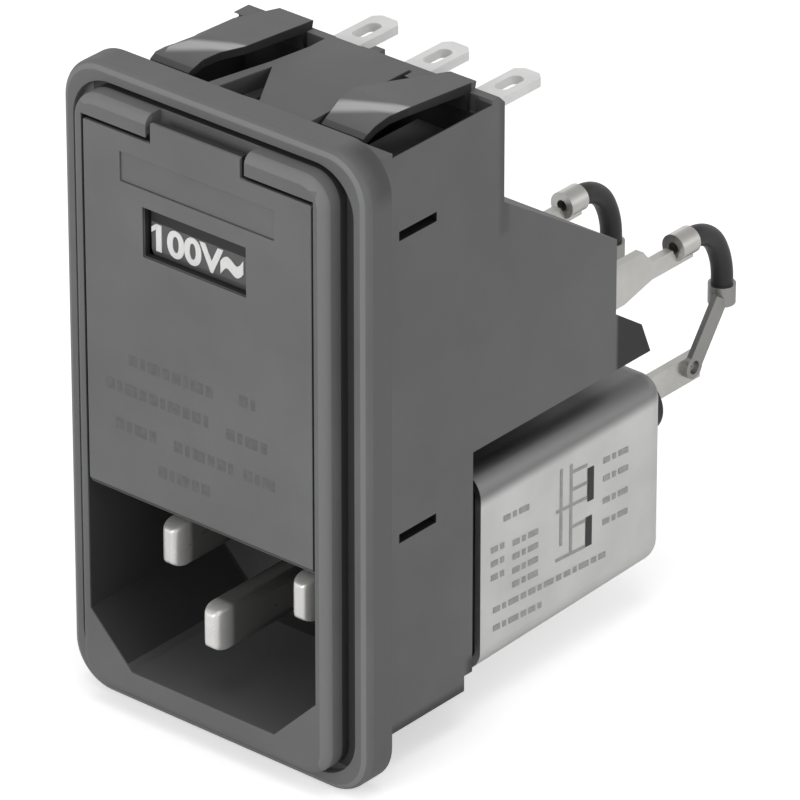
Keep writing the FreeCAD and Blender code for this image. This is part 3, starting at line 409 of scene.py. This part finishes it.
def round_nosed(name, loss, nose, material):
    """A blade in the CAD node's box. Its section is |x/a|^8 + |z/b|^8 = 1, and over the nose both half
    sizes lose loss * (1 - sqrt(1 - (1 - t)^2)) as t goes from the tip, 0, to the nose's end, 1."""
    power, rings_on_nose, points_round = 8, 14, 64
    points = np.empty(3 * len(nodes[name].data.vertices))
    nodes[name].data.vertices.foreach_get("co", points)
    points = points.reshape(-1, 3)
    low, high = points.min(axis=0), points.max(axis=0)
    middle, half = (low + high) / 2, (high - low) / 2
    share = np.append(np.linspace(0, 1, rings_on_nose) ** 1.6, (high[1] - low[1]) / nose)
    inset = loss * (1 - np.sqrt(1 - (1 - np.minimum(share, 1)) ** 2))
    angle = np.linspace(0, 2 * np.pi, points_round, endpoint=False)
    across = np.sign(np.cos(angle)) * np.abs(np.cos(angle)) ** (2 / power)
    up = np.sign(np.sin(angle)) * np.abs(np.sin(angle)) ** (2 / power)
    rings = np.stack([
        middle[0] + np.outer(half[0] - inset, across),
        np.repeat(low[1] + nose * share, points_round).reshape(len(share), -1),
        middle[2] + np.outer(half[2] - inset, up)], axis=-1)
    index = np.arange(rings.size // 3).reshape(rings.shape[:2])
    after = np.roll(index, -1, axis=1)
    sides = np.stack([index[:-1], after[:-1], after[1:], index[1:]], axis=-1).reshape(-1, 4)
    mesh = bpy.data.meshes.new(f"{name}_blade")
    mesh.from_pydata(rings.reshape(-1, 3).tolist(), [], [
        *sides.tolist(), index[0, ::-1].tolist(), index[-1].tolist()])
    mesh.materials.append(material)
    made = bpy.data.objects.new(f"{name}_blade", mesh)
    scene.collection.objects.link(made)
    flat_faces(made)
    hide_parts(name)
    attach(made, "base")


# Painted shade on the shanks deep in the well.
side_shank_shade = ((-9.0, 0.6, -17.0), (9.0, 30.0, -11.0), 0.32, 0.35)
earth_shank_shade = ((-2.0, -2.3, -21.5), (2.0, 30.0, -15.5), 0.32, 0.35)
pin_finish = plated("plated_pin", (0.95, 0.94, 0.92), 0.3, (0.15, 0.03, 0.15), metal=0.5,
                    patches=(side_shank_shade, earth_shank_shade))
nose_loss = 0.00072
nose_length = 0.0015
for pin in ("line_pin", "neutral_pin", "earth_pin"):
    round_nosed(pin, nose_loss, nose_length, pin_finish)


# Sheet terminals: tinned brass punched flat. Two strips run from the fuse contacts out through the rear
# wall, two links join the other contacts to the drum, and three tabs end the selector's springs.
strip_finish = plated("tinned_strip", (0.76, 0.75, 0.72), 0.34)
dress(strip_finish, "terminal_strip_a", "terminal_strip_b", "link_strip_a", "link_strip_b")
# Painted shade on the tabs where they stand inside the housing.
tab_root_shade = ((-13.0, -5.0, 20.0), (13.0, 16.2, 27.0), 0.12)
tab_finish = plated("selector_tab_tin", (0.97, 0.97, 0.96), 0.4, metal=0.1, patches=(tab_root_shade,))
dress(tab_finish, "selector_tab_left", "selector_tab_middle", "selector_tab_right")


# Filter circuit, sealed in the can: a laminate board on the spigot with a ring choke of two copper
# windings, a boxed film capacitor, two disc capacitors and a bleed resistor soldered to it.
dress(moulded("board_laminate", (0.07, 0.20, 0.10), 0.4), "filter_board")
dress(moulded("choke_ferrite", (0.03, 0.03, 0.032), 0.6), "choke_core")
dress(plated("winding_copper", (0.62, 0.24, 0.10), 0.35, (0.1, 1.0, 1.0), 2500.0),
      "choke_winding_a", "choke_winding_b")
dress(moulded("film_case", (0.55, 0.46, 0.10), 0.45), "film_capacitor")
dress(moulded("disc_ceramic", (0.08, 0.22, 0.42), 0.4), "disc_capacitor_a", "disc_capacitor_b")
dress(moulded("resistor_body", (0.45, 0.33, 0.20), 0.5), "bleed_resistor")


# Filter can: tinned steel sheet drawn in one piece, pushed over the housing's spigot. A tab for the
# earth wire is riveted to its back.
def drawn_can():
    """Tinned sheet: a soft mottled tone with long faint drawing lines from mouth to bottom, a painted
    dark reflection on the rounded upper edge and painted shadow on the flat top under the housing's
    shelf."""
    dull, pale = (0.68, 0.68, 0.67), (0.78, 0.78, 0.77)
    edge_shade_tone, shelf_shadow_tone = (0.27, 0.27, 0.27), (0.09, 0.09, 0.09)
    line_depth = 0.000004
    made, shader, base = finish("can_metal", Metallic=1.0)
    place = spot(base)
    axes = axes_of(base, place)
    along = base.node("ShaderNodeMapping", None, {"Vector": place, "Scale": (1.0, 0.05, 1.0)})
    bump = grain(base, along, 3200.0, line_depth, 0.2)[1]
    mottle = base.node("ShaderNodeTexNoise", None, {"Vector": place, "Scale": 180.0, "Detail": 4.0})
    colour = base.node("ShaderNodeValToRGB", {"stops": ((0.3, dull), (0.7, pale))}, {"Fac": mottle})
    edge = step(base, axes[2], -9.9, -8.7)
    inward = 1 - step(base, base.maths("ABSOLUTE", axes[0]), 10.8, 12.1)
    shelf_shadow = edge * inward * (1 - step(base, axes[1], 29.5, 35.0))
    # Painted dark reflection on the upper edge, and painted shadow of the shelf on the flat top.
    colour = blend(base, edge, colour, edge_shade_tone)
    colour = blend(base, shelf_shadow, colour, shelf_shadow_tone)
    feed(shader, "Base Color", colour)
    feed(shader, "Roughness", 0.36 + 0.14 * mottle)
    feed(shader, "Normal", bump)
    return made


dress(drawn_can(), "can_shell")
dress(plated("earth_tab_tin", (0.62, 0.61, 0.58), 0.34), "earth_tab")
dress(plated("rivet_metal", (0.55, 0.55, 0.54), 0.4), "earth_rivet")


# Print on the can's side: black ink, a wiring symbol of plain lines and two plates, and grey bars in
# place of lines of words.
def panel_bars(name, spots, body, material, lift):
    """Flat bars as one mesh: each bar is a rectangle (u0, u1, v0, v1) carried to the surface that lift
    gives, as whole arrays of corners."""
    spots = np.asarray(spots, float)
    u = spots[:, [0, 1, 1, 0]]
    v = spots[:, [2, 2, 3, 3]]
    points = lift(u, v).reshape(-1, 3) / 1000
    faces = np.arange(len(points)).reshape(-1, 4)
    mesh = bpy.data.meshes.new(name)
    mesh.from_pydata(points.tolist(), [], faces.tolist())
    mesh.materials.append(material)
    made = bpy.data.objects.new(name, mesh)
    scene.collection.objects.link(made)
    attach(made, body)


def can_side(y, z):
    """The can's right side: it leans in evenly from the mouth to the bottom, and the print on it falls
    with the can's upper edge."""
    mouth_y, mouth_x, bottom_y, bottom_x = 14.15, 13.3, 38.55, 13.1
    lean = (bottom_x - mouth_x) / (bottom_y - mouth_y)
    fall, ink_lift = 0.07, 0.02
    from_mouth = y - mouth_y
    return np.stack([mouth_x + lean * from_mouth + ink_lift, y, z - fall * from_mouth], axis=-1)


def word_row(start, stop, level, height):
    """Bars in place of a line of words: four lengths in turn with even gaps, cut off at the end."""
    gap, most_bars = 0.3, 40
    lengths = np.resize((0.9, 0.5, 1.3, 0.7), most_bars)
    ends = start + np.cumsum(lengths + gap) - gap
    kept = ends <= stop
    low = np.full(kept.sum(), level - height / 2)
    return np.stack([ends[kept] - lengths[kept], ends[kept], low, low + height], axis=1)


def ink(name, tone):
    """Pad print: a dull ink that is a little thin in places."""
    made, shader, base = finish(name, Roughness=0.6)
    thin = base.node("ShaderNodeTexNoise", None, {
        "Vector": spot(base), "Scale": 1800.0, "Detail": 2.0})
    stops = ((0.35, tone), (0.75, scaled(tone, 1.25)))
    colour = base.node("ShaderNodeValToRGB", {"stops": stops}, {"Fac": thin})
    feed(shader, "Base Color", colour)
    return made


plates = [(28.0, 28.85, -14.1, -10.95), (27.8, 28.65, -18.3, -15.5)]
black_ink = ink("black_ink", (0.03, 0.03, 0.032))
panel_bars("can_plates", plates, "base", black_ink, can_side)
grey_ink = ink("grey_ink", (0.35, 0.35, 0.35))
circuit = [(24.4, 24.75, -17.0, -9.8), (25.7, 26.05, -18.05, -9.8), (26.05, 28.0, -10.75, -10.45),
           (26.05, 28.0, -12.4, -12.1), (23.9, 24.4, -13.8, -13.5), (24.75, 25.7, -13.8, -13.5),
           (26.05, 28.0, -13.8, -13.5), (26.05, 27.8, -15.9, -15.6), (23.9, 27.8, -18.35, -18.05)]
panel_bars("can_circuit", circuit, "base", grey_ink, can_side)
rows = [(17.1, 21.3, -11.8), (15.5, 17.3, -14.2), (15.5, 17.3, -15.5), (15.5, 17.3, -16.8),
        (18.3, 21.6, -14.5), (18.3, 21.6, -15.8), (18.3, 21.6, -17.1), (18.3, 21.6, -18.4),
        (30.1, 33.6, -11.0), (30.1, 33.6, -12.7), (30.1, 33.6, -14.8), (30.1, 33.6, -16.8),
        (15.8, 30.6, -19.9), (15.8, 23.2, -21.6)]
row_height = 0.55
print_rows = np.concatenate([word_row(*row, row_height) for row in rows])
panel_bars("can_words", print_rows, "base", grey_ink, can_side)


# Output tabs: tinned blades that come out of the can, one for each jumper lead. Round black bushings
# hold them in the can's back.
dress(moulded("bushing_plastic", (0.022, 0.022, 0.023), 0.45), "bushing_a", "bushing_b")
dress(plated("output_tab_tin", (0.72, 0.71, 0.68), 0.3), "output_tab_a", "output_tab_b")


# Jumper leads: stiff wire in black sleeving, crimped in the strips' barrels and soldered to flat lugs
# that hook over the output tabs.
dress(moulded("wire_sleeve", (0.034, 0.034, 0.035), 0.4), "jumper_wire_a", "jumper_wire_b")
dress(plated("lug_tin", (0.42, 0.415, 0.40), 0.38), "jumper_lug_a", "jumper_lug_b")


# Voltage selector: a moulded drum on a steel spindle with two brass contact rings. Each of its four
# flats carries one voltage in raised white figures, with a band of painted shade above them.
axis_y, axis_z = 0.95, 16.6
flat_out = 5.2


def on_flat(turn, out, up):
    """Y and Z of a point that is out from the drum's axis and up on one of its flats."""
    angle = -turn * np.pi / 2
    y = axis_y - out * np.cos(angle) - up * np.sin(angle)
    z = axis_z - out * np.sin(angle) + up * np.cos(angle)
    return y, z


voltages = (100, 120, 230, 240)
# A band of painted shade above the figures on each flat.
shade_bands = []
for turn in range(len(voltages)):
    y, z = on_flat(turn, np.array((4.2, 5.5)), np.array((0.8, 2.2)))
    shade_bands.append(((-5.5, y.min(), z.min()), (4.9, y.max(), z.max()), 0.2))
dress(moulded("drum_plastic", (0.12, 0.12, 0.121), 0.5, shade_bands), "drum")
figure_finish = moulded("white_figures", (0.86, 0.86, 0.85), 0.5)


def raised_words(words, width, height, rise):
    """Bold letters as a mesh, with its points: width by height by rise, centred on their middle."""
    boldness, half_rise = 0.032, 0.05
    curve = bpy.data.curves.new(words, "FONT")
    curve.body = words
    curve.offset = boldness
    curve.extrude = half_rise
    holder = bpy.data.objects.new(words, curve)
    scene.collection.objects.link(holder)
    solid = holder.evaluated_get(bpy.context.evaluated_depsgraph_get())
    mesh = bpy.data.meshes.new_from_object(solid)
    bpy.data.objects.remove(holder)
    points = np.empty(3 * len(mesh.vertices))
    mesh.vertices.foreach_get("co", points)
    points = points.reshape(-1, 3)
    low, high = points.min(axis=0), points.max(axis=0)
    return mesh, (points - (low + high) / 2) / (high - low) * (width, height, rise)


figure_rise = 0.08
figure_middle, figure_width, figure_height = (-1.38, -0.48), 7.1, 2.45
wave_middle, wave_width, wave_height = (3.05, -0.5), 2.4, 1.9
flag_left, flag_right, flag_top, flag_height = -5.4, -4.9, 0.74, 0.5


def flag_lift(turn):
    """Where the flag of a figure one lies: flat on the figure, rising to the right by its slope."""
    slope = 0.8

    def lift(across, up):
        y, z = on_flat(turn, flat_out + figure_rise, up + slope * (across - flag_right))
        return np.stack([across, y, z], axis=-1)

    return lift


for turn, volts in enumerate(voltages):
    for name, words, width, height, middle in (
            ("figures", f"{volts}V", figure_width, figure_height, figure_middle),
            ("wave", "~", wave_width, wave_height, wave_middle)):
        mesh, points = raised_words(words, width, height, figure_rise)
        out = flat_out + figure_rise / 2 + points[:, 2]
        y, z = on_flat(turn, out, middle[1] + points[:, 1])
        placed = np.stack([middle[0] + points[:, 0], y, z], axis=1)
        mesh.vertices.foreach_set("co", (placed / 1000).ravel())
        mesh.materials.clear()
        mesh.materials.append(figure_finish)
        raised = bpy.data.objects.new(f"drum_{name}_{turn}", mesh)
        scene.collection.objects.link(raised)
        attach(raised, "drum_set")
    if volts < 200:
        flag = [(flag_left, flag_right, flag_top - flag_height, flag_top)]
        lift = flag_lift(turn)
        panel_bars(f"drum_flag_{turn}", flag, "drum_set", figure_finish, lift)
dress(plated("spindle_steel", (0.55, 0.55, 0.56), 0.3), "drum_spindle")
dress(plated("contact_brass", (0.70, 0.52, 0.22), 0.3), "contact_ring_left", "contact_ring_right")


# Fuses: each a glass tube with two plated caps and a thin wire. Both lie crosswise in the moulded
# carrier on the door's back.
def clear_glass():
    """Clear glass with faint smears."""
    made, shader, base = finish("fuse_glass", IOR=1.5, Transmission_Weight=1.0)
    smear = base.node("ShaderNodeTexNoise", None, {
        "Vector": spot(base), "Scale": 400.0, "Detail": 3.0})
    feed(shader, "Roughness", 0.02 + 0.06 * smear)
    return made


dress(clear_glass(), "fuse_low_glass", "fuse_high_glass")
dress(plated("fuse_element", (0.55, 0.50, 0.42), 0.35), "fuse_low_wire", "fuse_high_wire")
dress(plated("fuse_cap_metal", (0.70, 0.68, 0.63), 0.25), "fuse_low_cap_left", "fuse_low_cap_right",
      "fuse_high_cap_left", "fuse_high_cap_right")
dress(moulded("carrier_plastic", (0.06, 0.06, 0.061), 0.5), "fuse_carrier")


# Door: a thin leaf of the housing's plastic on two hinge stubs, with a pry tab in its top edge, a
# window over the selector drum, a plain recess and dull bars in place of lines of words.
# Painted shade on the recess walls, and on the door's edges and the walls of its window.
recess_wall_shade = ((-12.0, -5.0, -12.0), (12.0, -4.87, 24.5), 0.4)
door_edge_shade = ((-12.5, -4.75, -12.0), (12.5, -4.17, 27.0), 0.2)
door_finish = moulded("door_plastic", (0.157, 0.158, 0.158), 0.55, (recess_wall_shade, door_edge_shade))
eased("door", "leaf", "door_set", 0.00012, door_finish)


def door_front(x, z):
    """A plane just before the door's front face."""
    front_y = -5.06
    return np.stack([x, np.full_like(x, front_y), z], axis=-1)


door_rows = [(-7.4, 1.9, 4.6), (4.3, 7.6, 5.0), (-9.9, 1.5, 1.8), (2.9, 7.9, 1.5), (-8.9, -4.0, -1.6),
             (-2.7, 3.9, -1.6), (4.7, 8.2, -1.6), (-4.4, 1.6, -4.5)]
door_row_height = 1.0
door_words = np.concatenate([word_row(*row, door_row_height) for row in door_rows])
door_ink = ink("door_ink", (0.112, 0.112, 0.112))
panel_bars("door_words", door_words, "door_set", door_ink, door_front)
